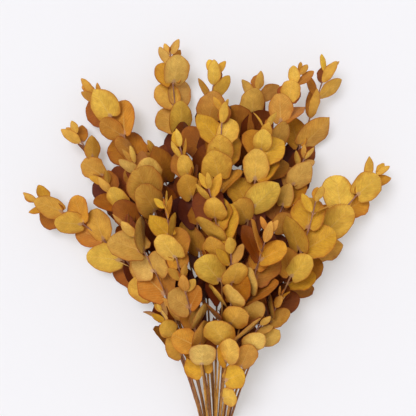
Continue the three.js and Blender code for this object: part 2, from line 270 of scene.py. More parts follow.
class Crowd:
    """All bodies placed so far, with their middles and reaches in rows for a quick test."""

    def __init__(self):
        self.bodies = []
        self.centres = np.zeros((MOST_BODIES, 3))
        self.reaches = np.zeros(MOST_BODIES)

    def place(self, body):
        """Keeps a body that has found its room."""
        self.centres[len(self.bodies)] = body.centre
        self.reaches[len(self.bodies)] = body.radius
        self.bodies.append(body)

    def leaves_room_for(self, body):
        """Whether the body clears all that is placed, apart from its own stem and its partner."""
        count = len(self.bodies)
        far = np.linalg.norm(self.centres[:count] - body.centre, axis=1)
        near = far <= self.reaches[:count] + body.radius + CLEARANCE
        for i in np.flatnonzero(near):
            other = self.bodies[i]
            kin = other.owner == body.owner and (other.pair == body.pair or other.pair < 0)
            if not kin and not apart(body, other):
                return False
        return True


def parted(a, b, axis):
    """Whether a plane across the axis has one body on each side, with the clearance between."""
    along_a = a.points @ axis
    along_b = b.points @ axis
    gap = max(along_b.min() - along_a.max(), along_a.min() - along_b.max())
    return gap > CLEARANCE


def apart(a, b):
    """Whether the two bodies have a gap between them."""
    between = b.centre - a.centre
    distance = math.sqrt(between @ between)
    if distance > a.radius + b.radius + CLEARANCE:
        return True
    if np.maximum(b.low - a.high, a.low - b.high).max() > CLEARANCE:
        return True
    between = between / max(distance, 1e-6)
    return any(parted(a, b, axis) for axis in (a.normal, b.normal, between))


def unit(vector):
    """The vector made one long."""
    return vector / math.sqrt(vector @ vector)


def axes_at(point, along):
    """A place on a stem: its point, along it to the tip, level across it, and up from it."""
    across = unit(np.cross(along, UP))
    return point, along, across, np.cross(across, along)


class Stem:
    """One leafy stem: where it runs, how thick it is, and the leaves on it."""

    def __init__(self, name, owner, lane, layer, spray):
        self.name = name
        self.owner = owner
        _, self.longest_gap, self.facing, fan, _ = layer
        tip, self.point, self.pairs, self.leaf, self.twist, self.young = spray
        draw = random_stream(owner + 1)
        cut = -CUT_LENGTH + CUT_SPREAD * swing(draw)
        self.foot = np.array((lane[0] * CUT_FAN, cut, lane[1] - CUT_DROP))
        self.below = np.array((lane[0], -NECK, lane[1]))
        neck = np.array((lane[0], NECK, lane[1]))
        tip = np.array(tip, float)
        reach = np.linalg.norm(tip - neck)
        slope = (tip[2] - neck[2]) / reach
        leaving = fan * lane[0] + WAVER * swing(draw)
        self.bend = (
            neck,
            neck + heading(leaving, slope) * START * reach,
            tip - heading(self.point, LAST_CLIMB * slope) * END * reach,
            tip,
        )
        fanned = [self.curve(i / STATIONS) for i in range(STATIONS + 1)]
        self.route = [self.foot, self.below, *fanned]
        self.nodes = []
        self.spots = []
        self.leaves = []

    def curve(self, t):
        """The point of the fanned stretch at that share of it."""
        a, b, c, d = self.bend
        s = 1 - t
        return s**3 * a + 3 * s * s * t * b + 3 * s * t * t * c + t**3 * d

    def heading_at(self, t):
        """The direction of the fanned stretch at that share of it."""
        ahead, behind = min(1, t + HEADING_STEP), max(0, t - HEADING_STEP)
        return unit(self.curve(ahead) - self.curve(behind))

    def half(self, t):
        """Half the stem's thickness at that share of the fanned stretch."""
        return WAIST_HALF + (TIP_HALF - WAIST_HALF) * max(0, t)

    def rings(self):
        """The square sections of the stem's solid."""
        last = len(self.route) - 1
        for i, point in enumerate(self.route):
            along = unit(self.route[min(i + 1, last)] - self.route[max(i - 1, 0)])
            _, _, across, over = axes_at(point, along)
            half = self.half((i - 2) / (last - 2))
            corners = ((-1, -1), (-1, 1), (1, 1), (1, -1))
            yield [point + across * a * half + over * b * half for a, b in corners]

    def from_tip(self, distance):
        """The place at a distance from the tip, and its share of the fanned stretch."""
        left = distance
        for i in range(len(self.route) - 1, 2, -1):
            step = self.route[i] - self.route[i - 1]
            length = math.sqrt(step @ step)
            if left <= length:
                share = (i - 2 - left / length) / STATIONS
                return axes_at(self.route[i] - step / length * left, step / length), share
            left -= length
        raise RuntimeError(f"the leaves of {self.name} reach down to the band")


def heading(degrees, rise):
    """The direction so many degrees from +Y, which climbs by the rise."""
    turn = math.radians(degrees)
    return np.array((math.sin(turn), math.cos(turn), rise))


def leaf_axes(place, azimuth, lean):
    """The directions of a flat leaf: its midrib, its side and its face."""
    _, along, across, over = place
    out = across * math.cos(azimuth) + over * math.sin(azimuth)
    midrib = along * math.cos(lean) + out * math.sin(lean)
    side = np.cross(along, out)
    return midrib, side, np.cross(midrib, side)


def turn_to_light(place, azimuth, lean, facing):
    """How far a leaf turns about its midrib to show its face from above."""
    _, side, face = leaf_axes(place, azimuth, lean)
    return facing * math.atan2(-side[2] * (-1 if face[2] < 0 else 1), abs(face[2]))


def rolled(place, leaf):
    """The directions of a leaf once it has turned about its midrib."""
    midrib, side, face = leaf_axes(place, leaf["azimuth"], leaf["lean"])
    c, s = math.cos(leaf["roll"]), math.sin(leaf["roll"])
    return midrib, side * c + face * s, face * c - side * s


def blade_corners(place, leaf, outline):
    """The middle surface of a leaf's blade at the corners of its outline, round from the root."""
    midrib, side, face = rolled(place, leaf)
    edge = [(x * leaf["length"], y * leaf["width"] / 2) for x, y in outline]
    left = [(0, 0), (STALK, STALK_HALF), *edge]
    flat = [(x, -y) for x, y in left] + left[-2:0:-1]
    corners = [
        place[0] + midrib * x + side * y
        + face * (leaf["fold"] * abs(y) - leaf["droop"] * x * x / leaf["length"])
        for x, y in flat
    ]
    return np.array(corners), face


def grown_body(place, leaf, outline, owner, pair):
    """The body of a blade, pressed flat by the table, or None if that bends it too far."""
    corners, face = blade_corners(place, leaf, outline)
    if corners[:, 2].min() < -EDGE_PRESS - PRESS * abs(face[2]):
        return None
    corners[:, 2] = np.maximum(corners[:, 2], LIFT)
    half = face * BLADE_THICKNESS / 2
    return Body([*(corners + half), *(corners - half)], face, owner, pair)


def free_leaf(stem, place, pair, side, turn, draw):
    """The pose of a leaf as it would grow with nothing in its way."""
    grown = min(1, YOUNG_LENGTH + LENGTH_GROWTH * pair)
    length = stem.leaf * grown * (1 + LENGTH_SWING * swing(draw))
    azimuth = turn + side * math.pi + math.radians(AZIMUTH_SWING * swing(draw))
    raised = max(0, math.sin(azimuth))
    lean = min(FULL_LEAN, YOUNG_LEAN + LEAN_GROWTH * pair) - SINK * raised
    lean = math.radians(lean + LEAN_SWING * swing(draw))
    level = turn_to_light(place, azimuth, lean, stem.facing)
    roll = level + math.radians(ROLL_SWING * swing(draw))
    usual = YOUNG_WIDTH if pair < stem.young else FULL_WIDTH
    width = length * (usual + WIDTH_SWING * swing(draw))
    fold = LEAST_FOLD + MORE_FOLD * draw()
    droop = DROOP * swing(draw) - BOW * raised
    return {
        "azimuth": azimuth,
        "lean": lean,
        "roll": roll,
        "length": length,
        "width": width,
        "fold": fold,
        "droop": droop,
    }


def find_room(stem, place, free, pair, crowd, draw):
    """The first pose near the free one that clears everything placed so far, or None."""
    outline = YOUNG_OUTLINE if pair < stem.young else FULL_OUTLINE
    for i in range(TRIES):
        loose = i / (TRIES - 1)
        leaf = dict(free)
        leaf["azimuth"] += math.radians(TRY_AZIMUTH) * loose * swing(draw)
        lean = leaf["lean"] + math.radians(TRY_LEAN) * loose * swing(draw)
        leaf["lean"] = max(math.radians(LEAST_LEAN), lean)
        leaf["roll"] += math.radians(TRY_ROLL) * loose * swing(draw)
        leaf["length"] *= 1 - TRY_SHRINK * loose
        leaf["width"] *= 1 - TRY_SHRINK * loose
        body = grown_body(place, leaf, outline, stem.owner, pair)
        if body is not None and crowd.leaves_room_for(body):
            crowd.place(body)
            return leaf
    return None


def grow_pair(stem, distance, pair, turn, seed, crowd):
    """Sets the leaves of a pair that find room, and gives the pair's share of the stem."""
    place, share = stem.from_tip(distance)
    for side in (0, 1):
        draw = random_stream(seed + side)
        free = free_leaf(stem, place, pair, side, turn, draw)
        leaf = find_room(stem, place, free, pair, crowd, draw)
        if leaf is not None:
            leaf.update(place=place, share=share, young=pair < stem.young)
            stem.leaves.append(leaf)
    return share


def grow_leaves(stem, crowd):
    """Sets the leaves of one stem, each clear of all that is placed already."""
    seed = STEM_SEEDS * (stem.owner + 1)
    turn_draw = random_stream(seed)
    distance = BUD
    for pair in range(stem.pairs):
        turn = math.radians(stem.twist + QUARTER * pair + TURN_SWING * swing(turn_draw))
        share = grow_pair(stem, distance, pair, turn, seed + PAIR_SEEDS * (pair + 1), crowd)
        stem.nodes.append(share)
        stem.spots.append(distance)
        distance += min(stem.longest_gap, FIRST_GAP + GAP_GROWTH * pair)


def fill_in(stem, crowd):
    """Adds leaves between the pairs in the thick of the bunch, where they find room."""
    below = [*stem.spots[1:], stem.spots[-1] + GAP_BELOW]
    for k, (upper, lower) in enumerate(zip(stem.spots, below)):
        halfway = (upper + lower) / 2
        place, _ = stem.from_tip(halfway)
        if thick_of_bunch(place[0]):
            turn = math.radians(stem.twist + QUARTER * (k + 0.5))
            seed = FILL_SEED + STEM_SEEDS * stem.owner + PAIR_SEEDS * k
            grow_pair(stem, halfway, stem.pairs + k, turn, seed, crowd)


def thick_of_bunch(point):
    """Whether a point lies among other leafy stems, well away from the outline of the bunch."""
    x, y = (point[0] - THICK[0]) / THICK[2], (point[1] - THICK[1]) / THICK[3]
    return x * x + y * y < 1


def lay_out_bunch():
    """All leafy stems, as the CAD grows them."""
    stems = []
    crowd = Crowd()
    for row, layer in enumerate(LAYERS):
        sprays = layer[-1]
        across = LANE_OUTER if row in (0, len(LAYERS) - 1) else LANE_ACROSS
        for column, spray in enumerate(sprays):
            lane = (
                (column - (len(sprays) - 1) / 2) * across,
                BAND_MIDDLE + (row - (len(LAYERS) - 1) / 2) * LANE_UP,
            )
            stem = Stem(f"{layer[0]}_{column + 1}", len(stems), lane, layer, spray)
            rings = list(stem.rings())
            for lower, upper in zip(rings, rings[1:]):
                crowd.place(Body([*lower, *upper], UP, stem.owner, -1))
            stems.append(stem)
    for stem in stems:
        grow_leaves(stem, crowd)
    return stems, crowd


def fade_aside(distance, half):
    """A share that falls to a half at the half distance, and to nothing farther out."""
    return SHADE_FADE - distance / half


def cover(leaves):
    """Notes on each leaf how deep it lies under others, from 0 to 1, less if only on one side."""
    middles = np.array([
        leaf["place"][0] + 0.5 * leaf["length"] * rolled(leaf["place"], leaf)[0] for leaf in leaves
    ])
    for leaf, middle in zip(leaves, middles):
        offset = middles - middle
        aside = np.hypot(offset[:, 0], offset[:, 1])
        under = np.clip((offset[:, 2] - SHADE_DROP) / SHADE_DEPTH, 0, 1)
        over = under * np.clip(fade_aside(aside, SHADE_ASIDE), 0, 1)
        leaning = np.hypot(*(over @ offset[:, :2])) / max(over.sum(), 0.001)
        inside = np.clip(fade_aside(leaning, SHADE_LEANING), LEAST_INSIDE, 1)
        # This share sets how much shade is painted into the leaf's colour, darker and warmer.
        leaf["covered"] = inside * min(1.0, over.sum() / COVERED)


def lay_out_finished_bunch():
    """The CAD's leafy stems with the further leaves that fill the bunch."""
    stems, crowd = lay_out_bunch()
    for stem in stems:
        fill_in(stem, crowd)
    cover([leaf for stem in stems for leaf in stem.leaves])
    return stems


STEMS = lay_out_finished_bunch()


# Node trees and meshes

NODE_WIDTH = 220
NODE_HEIGHT = 260
NODES_DOWN = 4
SHARP_ANGLE = 48.0  # degrees between two faces from which their edge stays sharp
MOST_STRAY = 12.0  # millimetres by which a finished piece may stand out of its CAD node


def lay_out_nodes(tree):
    """Sets the nodes side by side in the order in which they were made."""
    for i, node in enumerate(tree.nodes):
        node.location = (NODE_WIDTH * (i // NODES_DOWN), -NODE_HEIGHT * (i % NODES_DOWN))


def feed(tree, socket, thing):
    """Links a socket to another one, or gives it a value."""
    if isinstance(thing, bpy.types.NodeSocket):
        tree.links.new(thing, socket)
    else:
        socket.default_value = thing


def feed_by_name(tree, node, things):
    """Feeds inputs of a node by their names, and gives its outputs."""
    for name, thing in things.items():
        feed(tree, node.inputs[name], thing)
    return node.outputs


def add(tree, kind, *given, **settings):
    """Adds a node. Each thing given is a value, or a socket to link, for its next input in use."""
    node = tree.nodes.new(kind)
    for key, value in settings.items():
        setattr(node, key, value)
    for socket, thing in zip([s for s in node.inputs if s.enabled], given):
        if thing is not None:
            feed(tree, socket, thing)
    return node


def out(node):
    """The first output in use of a node."""
    return next(s for s in node.outputs if s.enabled)


def sums(tree, operation, *given):
    """The result of one step of arithmetic."""
    return out(add(tree, "ShaderNodeMath", *given, operation=operation))


def product(tree, first, *others):
    """All the values multiplied."""
    for other in others:
        first = sums(tree, "MULTIPLY", first, other)
    return first


def combined(tree, *parts):
    """A vector made of its three parts."""
    return out(add(tree, "ShaderNodeCombineXYZ", *parts))


def split(tree, vector):
    """The three parts of a vector, by their letters."""
    return add(tree, "ShaderNodeSeparateXYZ", vector).outputs


def vectors(tree, operation, *given):
    """The result of one step of arithmetic on vectors."""
    return out(add(tree, "ShaderNodeVectorMath", *given, operation=operation))


def scaled(tree, vector, factor):
    """A vector made longer or shorter."""
    node = add(tree, "ShaderNodeVectorMath", vector, operation="SCALE")
    tree.links.new(factor, node.inputs["Scale"])
    return out(node)


def named(tree, name, kind="FLOAT_VECTOR"):
    """A named attribute in a geometry tree."""
    return out(add(tree, "GeometryNodeInputNamedAttribute", name, data_type=kind))


def between(tree, value, start, end, low=0.0, high=1.0):
    """A smooth step of a value, from low at start to high at end."""
    return out(add(
        tree, "ShaderNodeMapRange", value, start, end, low, high, interpolation_type="SMOOTHSTEP",
    ))


def blend(tree, share, first, second, kind="MIX"):
    """Two colours mixed by a share."""
    return out(add(tree, "ShaderNodeMix", share, first, second, data_type="RGBA", blend_type=kind))


def geometry_tree(name, inputs):
    """An empty Geometry Nodes tree with its own inputs, and the node that gives them."""
    tree = bpy.data.node_groups.new(name, "GeometryNodeTree")
    tree.interface.new_socket("Geometry", in_out="INPUT", socket_type="NodeSocketGeometry")
    for label, kind, value in inputs:
        socket = tree.interface.new_socket(label, in_out="INPUT", socket_type=kind)
        if value is not None:
            socket.default_value = value
    tree.interface.new_socket("Geometry", in_out="OUTPUT", socket_type="NodeSocketGeometry")
    return tree, tree.nodes.new("NodeGroupInput")


def close_tree(tree, geometry, material):
    """Ends a tree with real geometry in one material."""
    real = add(tree, "GeometryNodeRealizeInstances", geometry)
    dressed = add(tree, "GeometryNodeSetMaterial", out(real), True, material)
    add(tree, "NodeGroupOutput", out(dressed))
    lay_out_nodes(tree)
    return tree


def attach(mesh, attributes):
    """Gives the points of a mesh their attributes. Each has a name, a kind and its values."""
    for label, kind, values in attributes:
        field = "vector" if kind == "FLOAT_VECTOR" else "value"
        flat = np.asarray(values, np.int32 if kind == "INT" else np.float32).ravel()
        mesh.attributes.new(label, kind, "POINT").data.foreach_set(field, flat)


def guide_mesh(name, points, edges, attributes):
    """A mesh of points that a tree turns into a piece."""
    mesh = bpy.data.meshes.new(name)
    mesh.from_pydata([tuple(p) for p in points], edges, [])
    attach(mesh, attributes)
    return mesh


def made_by(tree, name, guide, values):
    """The plain mesh object that the tree makes of the guide mesh."""
    piece = bpy.data.objects.new(name, guide)
    bpy.context.scene.collection.objects.link(piece)
    modifier = piece.modifiers.new(tree.name, "NODES")
    modifier.node_group = tree
    for item in tree.interface.items_tree:
        if item.in_out == "INPUT" and item.name in values:
            modifier[item.identifier] = values[item.name]
    graph = bpy.context.evaluated_depsgraph_get()
    mesh = bpy.data.meshes.new_from_object(
        piece.evaluated_get(graph), preserve_all_data_layers=True, depsgraph=graph
    )
    if not mesh.polygons:
        raise RuntimeError(f"{name} came out empty")
    piece.modifiers.remove(modifier)
    piece.data = mesh
    mesh.name = name
    bpy.data.meshes.remove(guide)
    mesh.shade_smooth()
    mesh.set_sharp_from_angle(angle=math.radians(SHARP_ANGLE))
    return piece


def stand_for(piece, node):
    """Puts the finished piece in the place of its CAD node, after a check that it is there."""
    low, high = np.array(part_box(node))
    spots = np.array([v.co for v in piece.data.vertices])
    stray = max((low - spots.min(axis=0)).max(), (spots.max(axis=0) - high).max()) / MM
    if stray > MOST_STRAY:
        raise RuntimeError(f"{piece.name} stands {stray:.1f} mm out of {node}")
    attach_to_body(piece, "root")
    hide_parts(node)


# Sizes and colours that can be changed

def metres(name, description, default, top):
    """A length, with its default and the most it can be."""
    return bpy.props.FloatProperty(
        name=name, description=description, default=default, min=0.0, max=top,
        subtype="DISTANCE", unit="LENGTH", precision=5,
    )


def portion(name, description, default):
    """A share from 0 to 1."""
    return bpy.props.FloatProperty(
        name=name, description=description, default=default, min=0.0, max=1.0, subtype="FACTOR",
    )


def tone(name, description, default):
    """A colour, given as red, green and blue from 0 to 255 on a screen."""
    linear = [((c / 255 + 0.055) / 1.055) ** 2.4 if c > 10 else c / 255 / 12.92 for c in default]
    return bpy.props.FloatVectorProperty(
        name=name, description=description, default=linear, size=3, min=0.0, max=1.0,
        subtype="COLOR",
    )


class EucalyptusSizes(bpy.types.PropertyGroup):
    """Sizes of what is finer than the CAD."""

    blade_thickness: metres("Blade", "Thickness of a leaf near its midrib", 0.0006, 0.002)
    edge_thickness: metres("Leaf edge", "Thickness of a leaf at its edge", 0.00028, 0.001)
    midrib_height: metres("Midrib", "How far the midrib stands out underneath", 0.0004, 0.001)
    stalk_thickness: metres("Stalk", "Thickness of a leaf's stalk", 0.0011, 0.002)
    wave_height: metres("Waves", "How far the edge of a leaf waves up and down", 0.0016, 0.004)
    unevenness: portion("Outlines", "How uneven the outlines of the leaves are", 0.5)
    bark_relief: metres("Bark", "Unevenness of the stems", 0.00022, 0.001)
    node_swelling: portion("Nodes", "How much thicker a stem is where leaves grow", 0.38)
    strip_width: metres("Band width", "Width of the rubber strip", 0.0028, 0.005)


class EucalyptusColours(bpy.types.PropertyGroup):
    """Colours of the dried leaves, the stems and the band."""

    ochre: tone("Ochre", "Most leaves", (225, 166, 46))
    mustard: tone("Mustard", "Brighter leaves", (223, 178, 46))
    tan: tone("Tan", "Pale leaves", (222, 180, 96))
    rust: tone("Rust", "Leaves that dried orange-brown", (196, 119, 38))
    olive: tone("Olive", "Leaves that kept some green", (196, 147, 50))
    underside: tone("Underside", "The paler back of the leaves", (222, 179, 82))
    edge: tone("Edge", "The dry edge of the leaves", (176, 92, 24))
    vein: tone("Vein", "Midrib and side veins", (224, 184, 104))
    stalk: tone("Stalk", "The pinkish foot of each leaf", (186, 140, 112))
    wood: tone("Wood", "The golden stems at the band", (200, 144, 44))
    bark: tone("Bark", "The darker stems at the band", (122, 62, 32))
    twig: tone("Twig", "The stems near their tips", (150, 104, 88))
    rubber: tone("Rubber", "The band", (206, 176, 126))


def sizes():
    """The sizes as they are set."""
    return bpy.context.scene.eucalyptus_sizes


def colour(name):
    """One of the colours as it is set."""
    return (*getattr(bpy.context.scene.eucalyptus_colours, name), 1.0)


# Effects that more than one material uses

def effect(name, inputs, outputs):
    """An empty shader group with its sockets, and what it is given."""
    group = bpy.data.node_groups.new(name, "ShaderNodeTree")
    for label, kind, value in inputs:
        socket = group.interface.new_socket(label, in_out="INPUT", socket_type=kind)
        socket.default_value = value
    for label, kind in outputs:
        group.interface.new_socket(label, in_out="OUTPUT", socket_type=kind)
    return group, group.nodes.new("NodeGroupInput").outputs


def noise(tree, place, scale, detail=2.0, roughness=0.5, distortion=0.0):
    """A soft random pattern from 0 to 1."""
    node = add(tree, "ShaderNodeTexNoise", place, scale, detail, roughness, None, distortion)
    return node.outputs["Fac"]


def warm_light(tree, light, green, blue):
    """A lightness in red, green and blue that is warmer the darker it is, by two powers."""
    return combined(
        tree, light, sums(tree, "POWER", light, green), sums(tree, "POWER", light, blue)
    )


def mottling():
    """Soft patches and fine specks that lighten and darken a colour."""
    group = bpy.data.node_groups.get("Dry mottling")
    if group:
        return group
    group, given = effect(
        "Dry mottling",
        (
            ("Place", "NodeSocketVector", (0, 0, 0)),
            ("Colour", "NodeSocketColor", (0.5, 0.5, 0.5, 1)),
            ("Patch scale", "NodeSocketFloat", 90.0),
            ("Speck scale", "NodeSocketFloat", 1100.0),
            ("Strength", "NodeSocketFloat", 0.3),
        ),
        (("Colour", "NodeSocketColor"), ("Grain", "NodeSocketFloat")),
    )
    patches = noise(group, given["Place"], given["Patch scale"], 3.0, 0.6)
    specks = noise(group, given["Place"], given["Speck scale"], 2.0, 0.6)
    light = between(group, patches, 0.35, 0.7, -1.0, 1.0)
    fine = between(group, specks, 0.3, 0.72, -0.5, 0.5)
    swings = product(group, sums(group, "ADD", light, fine), given["Strength"])
    bright = warm_light(group, sums(group, "ADD", swings, 1.0), 1.15, 1.35)
    toned = vectors(group, "MULTIPLY", given["Colour"], bright)
    add(group, "NodeGroupOutput", toned, sums(group, "MULTIPLY_ADD", specks, 0.6, patches))
    lay_out_nodes(group)
    return group


def bloom():
    """The dull waxy film that is left in patches on leaves and twigs."""
    group = bpy.data.node_groups.get("Waxy bloom")
    if group:
        return group
    group, given = effect(
        "Waxy bloom",
        (
            ("Place", "NodeSocketVector", (0, 0, 0)),
            ("Scale", "NodeSocketFloat", 160.0),
            ("Cover", "NodeSocketFloat", 0.4),
        ),
        (("Mask", "NodeSocketFloat"), ("Roughness", "NodeSocketFloat")),
    )
    film = noise(group, given["Place"], given["Scale"], 4.0, 0.65, 0.6)
    mask = product(group, between(group, film, 0.4, 0.75), given["Cover"])
    add(group, "NodeGroupOutput", mask, sums(group, "MULTIPLY_ADD", mask, 0.3, 0.58))
    lay_out_nodes(group)
    return group


def use(tree, group, things):
    """One use of an effect with what it is given, and its outputs."""
    node = tree.nodes.new("ShaderNodeGroup")
    node.node_tree = group
    return feed_by_name(tree, node, things)


def relief(tree, height, strength, distance):
    """The normals of a surface that rises and sinks with a height."""
    bump = tree.nodes.new("ShaderNodeBump")
    things = {"Strength": strength, "Distance": distance, "Height": height}
    return feed_by_name(tree, bump, things)["Normal"]


def object_place(tree):
    """The place on the object, in metres."""
    return tree.nodes.new("ShaderNodeTexCoord").outputs["Object"]


def attribute(tree, name, part="Fac"):
    """An attribute of the mesh, as a number or as a vector."""
    node = tree.nodes.new("ShaderNodeAttribute")
    node.attribute_name = name
    return node.outputs[part]


def new_material(name):
    """A material with its tree and its surface."""
    material = bpy.data.materials.new(name)
    material.use_nodes = True
    tree = material.node_tree
    return material, tree, tree.nodes["Principled BSDF"]


# The tones of the leaves along a scale from 0 to 1.
LEAF_TONES = (
    (0.0, "rust"), (0.2, "ochre"), (0.45, "mustard"), (0.62, "ochre"), (0.76, "tan"),
    (0.9, "olive"), (1.0, "rust"),
)
SIDE_VEINS = 11.0  # in the length of a leaf
FOOT_SPOT = 0.085  # along the leaf, where its pinkish foot is strongest
# The shade of leaves above is painted into the colour: green and blue fall faster than red.
PAINTED_SHADE_POWERS = (1.72, 2.5)  # how much more green and blue lose in the shade of other leaves


def leaf_tone(tree, scale):
    """The tone of a leaf, by its place on the scale."""
    ramp = tree.nodes.new("ShaderNodeValToRGB")
    tree.links.new(scale, ramp.inputs[0])
    elements = ramp.color_ramp.elements
    for spot, _ in LEAF_TONES[1:-1]:
        elements.new(spot)
    for element, (spot, name) in zip(elements, LEAF_TONES):
        element.position = spot
        element.color = colour(name)
    return ramp.outputs["Color"]


def leaf_veins(tree, flat, along, across):
    """Masks of the midrib and of the side veins that leave it, from a leaf's own flat place."""
    midrib = between(tree, across, 0.05, 0.015)
    slant = sums(tree, "MULTIPLY_ADD", across, -0.3, along)
    curve = sums(tree, "MULTIPLY_ADD", product(tree, across, across), -0.1, slant)
    bent = sums(tree, "MULTIPLY_ADD", noise(tree, flat, 5.0), 0.06, curve)
    phase = sums(tree, "FRACT", product(tree, bent, SIDE_VEINS))
    offset = sums(tree, "ABSOLUTE", sums(tree, "SUBTRACT", phase, 0.5))
    lines = between(tree, offset, 0.1, 0.0)
    return midrib, product(tree, lines, between(tree, across, 0.98, 0.6))


def leaf_material():
    """Matte dried leaf: each its own tone, with veins, dry edges and a paler back."""
    material, tree, surface = new_material("Dried leaf")
    place = object_place(tree)
    flat = attribute(tree, "flat", "Vector")
    along, aside, facing = split(tree, flat)
    across = sums(tree, "ABSOLUTE", aside)
    # Its own tone, and its lightness: a random tone, less the shade painted where leaves lie over
    # it.
    own_tone, light, _ = split(tree, attribute(tree, "tint", "Vector"))
    rim = attribute(tree, "rim")

    # Its tone, paler on the back, and soft mottling.
    back = between(tree, facing, 0.2, -0.2, 0.0, 0.4)
    mottle = use(tree, mottling(), {
        "Place": place,
        "Colour": blend(tree, back, leaf_tone(tree, own_tone), colour("underside")),
        "Patch scale": 75.0,
        "Speck scale": 900.0,
        "Strength": 0.13,
    })

    # Fine brown streaks that run out from the midrib.
    outwards = product(tree, sums(tree, "MULTIPLY_ADD", across, -0.5, along), 34.0)
    spread = combined(tree, outwards, product(tree, aside, 5.0), product(tree, own_tone, 40.0))
    feather = between(tree, noise(tree, spread, 1.0, 2.0, 0.6), 0.35, 0.72, 0.0, 0.36)
    seen = blend(tree, feather, mottle["Colour"], colour("edge"))

    # Pale veins.
    midrib, side_veins = leaf_veins(tree, flat, along, across)
    seen = blend(tree, product(tree, side_veins, 0.3), seen, colour("vein"))
    rib_fade = between(tree, along, 0.95, 0.1, 0.1, 0.5)
    seen = blend(tree, product(tree, midrib, rib_fade), seen, colour("vein"))

    # A frayed warm border, and the dry edge outside it.
    fray = noise(tree, place, 70.0, 3.0, 0.6)
    reach = sums(tree, "MULTIPLY_ADD", fray, -0.8, 1.0)
    warm = between(tree, sums(tree, "SUBTRACT", rim, reach), 0.0, 0.5, 0.0, 0.5)
    seen = blend(tree, warm, seen, colour("edge"))
    dry = between(tree, sums(tree, "MULTIPLY_ADD", fray, -0.1, rim), 0.88, 0.94, 0.0, 0.6)
    seen = blend(tree, dry, seen, colour("edge"), "MULTIPLY")

    # The pinkish foot.
    ahead = sums(tree, "SUBTRACT", along, FOOT_SPOT)
    beside = product(tree, aside, 0.7)
    far = sums(tree, "MULTIPLY_ADD", ahead, ahead, product(tree, beside, beside))
    seen = blend(tree, between(tree, far, 0.022, 0.002, 0.0, 0.75), seen, colour("stalk"))

    # The waxy film, and the shade of the leaves above, painted darker and warmer into the base
    # colour.
    film = use(tree, bloom(), {"Place": place, "Scale": 120.0, "Cover": 0.12})
    seen = blend(tree, film["Mask"], seen, colour("underside"))
    shade = warm_light(tree, sums(tree, "MULTIPLY_ADD", light, 0.88, 0.32), *PAINTED_SHADE_POWERS)
    height = sums(tree, "MULTIPLY_ADD", side_veins, 0.5, mottle["Grain"])
    feed_by_name(tree, surface, {
        "Base Color": vectors(tree, "MULTIPLY", seen, shade),
        "Roughness": film["Roughness"],
        "Specular IOR Level": 0.22,
        "Normal": relief(tree, height, 0.6, 0.0005),
    })
    lay_out_nodes(tree)
    return material


def stem_material():
    """Thin bark: golden or brown wood low down, mauve-brown twigs towards the tips."""
    material, tree, surface = new_material("Eucalyptus stem")
    place = object_place(tree)
    bark = blend(tree, attribute(tree, "tone"), colour("wood"), colour("bark"))
    twigs = between(tree, attribute(tree, "along"), 0.4, 0.95)
    mottle = use(tree, mottling(), {
        "Place": vectors(tree, "MULTIPLY", place, (1.0, 0.12, 1.0)),
        "Colour": blend(tree, twigs, bark, colour("twig")),
        "Patch scale": 260.0,
        "Speck scale": 1900.0,
        "Strength": 0.3,
    })
    film = use(tree, bloom(), {"Place": place, "Scale": 260.0, "Cover": 0.3})
    dusty = blend(tree, film["Mask"], mottle["Colour"], colour("stalk"))
    feed_by_name(tree, surface, {
        "Base Color": blend(tree, attribute(tree, "cut"), dusty, colour("vein")),
        "Roughness": film["Roughness"],
        "Specular IOR Level": 0.35,
        "Normal": relief(tree, mottle["Grain"], 0.6, 0.0005),
    })
    lay_out_nodes(tree)
    return material


def rubber_material():
    """Natural rubber, slightly dusty, with fine lines along the strip."""
    material, tree, surface = new_material("Natural rubber")
    place = object_place(tree)
    mottle = use(tree, mottling(), {
        "Place": place,
        "Colour": colour("rubber"),
        "Patch scale": 120.0,
        "Speck scale": 1600.0,
        "Strength": 0.12,
    })
    ridges = noise(tree, vectors(tree, "MULTIPLY", place, (0.05, 1.0, 0.05)), 2400.0, 1.0)
    feed_by_name(tree, surface, {
        "Base Color": mottle["Colour"],
        "Roughness": sums(tree, "MULTIPLY_ADD", ridges, 0.2, 0.42),
        "Normal": relief(tree, ridges, 0.4, 0.0002),
    })
    lay_out_nodes(tree)
    return material


# Leaves

# Columns of points across a blade from edge to edge, and rows of faces along it.
COLUMNS = (-1.0, -0.74, -0.4, -0.1, 0.0, 0.1, 0.4, 0.74, 1.0)
STEPS = 11

# Leaf shapes: share of the length taken by the stalk, place of the widest part, fullness at the
# base and at the tip, how far the base sweeps back, how far the tip stands out, sideways bend.
FULL_SHAPES = (
    (0.085, 0.92, 0.42, 0.52, 0.3, 0.0, 0.02),
    (0.085, 0.84, 0.42, 0.6, 0.34, 0.01, -0.03),
    (0.085, 0.98, 0.45, 0.46, 0.24, -0.015, 0.03),
    (0.085, 0.8, 0.44, 0.68, 0.27, 0.02, 0.04),
    (0.085, 0.88, 0.4, 0.54, 0.38, -0.01, -0.05),
    (0.085, 1.04, 0.46, 0.44, 0.2, 0.0, 0.0),
)
YOUNG_SHAPES = (
    (0.13, 0.9, 0.62, 0.66, 0.0, 0.0, 0.04),
    (0.13, 1.0, 0.56, 0.6, 0.0, 0.0, -0.05),
)
STALK_ROWS = ((0.0, 0.05), (0.5, 0.042))  # share of the stalk, and half its width
LEAST_HALF = 0.045  # half the width of a blade at its very base
BLADE_START = 6.0  # the stalk has turned into the thin blade within a sixth of it
LOPSIDED = 7 / 6  # how much wider one half of a blade is, for each part that it bends sideways
SWEEP_START = 0.02  # share of the blade in which its base sweeps back
SWEEP_FADE = 5.0
RIB_HALF = 0.4  # half the width of the midrib's rise, as a share of the blade's
RIB_FADE = 0.7  # how much lower the midrib is at the tip
RIB_ABOVE = 0.25  # how deep its groove is above, as a share of its height underneath


